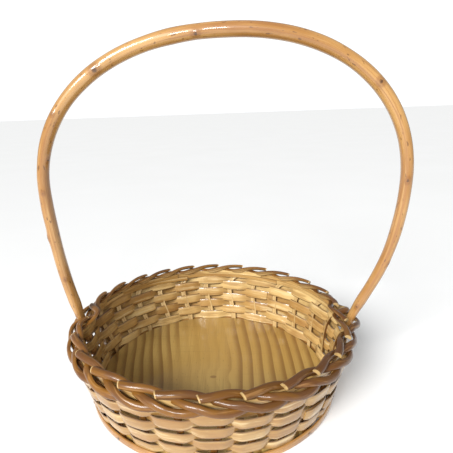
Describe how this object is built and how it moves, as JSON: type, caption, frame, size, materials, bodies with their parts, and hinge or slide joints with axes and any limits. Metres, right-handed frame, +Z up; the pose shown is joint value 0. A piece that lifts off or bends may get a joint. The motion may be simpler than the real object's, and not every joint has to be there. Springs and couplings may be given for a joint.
{
  "type": "egg collection basket",
  "caption": "Round woven basket of split willow on a flat pine board, with a plaited border and a tall fixed hoop handle, for gathering eggs by hand",
  "frame": {"origin": "the middle of the flat underside of the base board, on the surface that the basket stands on", "axes": "+Z is up; the handle's hoop stands in the XZ plane and reaches furthest towards +X; the front is -Y"},
  "size_m": [0.3401, 0.296, 0.3326],
  "materials": {
    "pine_board": "varnished pine with plain grain",
    "hoop_rod": "varnished bent rod, bark side out",
    "stake_rod": "varnished split willow, brown bark side and pale split side",
    "weaver_split": "varnished pale willow split",
    "handle_rod": "glossy varnished peeled rod with knots",
    "nail_steel": "dull steel"
  },
  "bodies": {
    "root": {"base_board": "pine_board", "base_hoop": "hoop_rod", "hoop_nail_01": "nail_steel", "hoop_nail_02": "nail_steel", "hoop_nail_03": "nail_steel", "hoop_nail_04": "nail_steel", "hoop_nail_05": "nail_steel", "hoop_nail_06": "nail_steel", "hoop_nail_07": "nail_steel", "hoop_nail_08": "nail_steel", "hoop_nail_09": "nail_steel", "hoop_nail_10": "nail_steel", "hoop_nail_11": "nail_steel", "hoop_nail_12": "nail_steel", "hoop_nail_13": "nail_steel", "handle": "handle_rod", "weaver_row_1": "weaver_split", "weaver_row_2": "weaver_split", "weaver_row_3": "weaver_split", "weaver_row_4": "weaver_split", "weaver_row_5": "weaver_split", "weaver_row_6": "weaver_split", "weaver_row_7": "weaver_split", "inside_band": "weaver_split", "stake_01": "stake_rod", "stake_02": "stake_rod", "stake_03": "stake_rod", "stake_04": "stake_rod", "stake_05": "stake_rod", "stake_06": "stake_rod", "stake_07": "stake_rod", "stake_08": "stake_rod", "stake_09": "stake_rod", "stake_10": "stake_rod", "stake_11": "stake_rod", "stake_12": "stake_rod", "stake_13": "stake_rod", "stake_14": "stake_rod", "stake_15": "stake_rod", "stake_16": "stake_rod", "stake_17": "stake_rod", "stake_18": "stake_rod", "stake_19": "stake_rod", "stake_20": "stake_rod", "stake_21": "stake_rod", "stake_22": "stake_rod", "stake_23": "stake_rod", "stake_24": "stake_rod", "stake_25": "stake_rod", "stake_26": "stake_rod"}
  },
  "joints": []
}
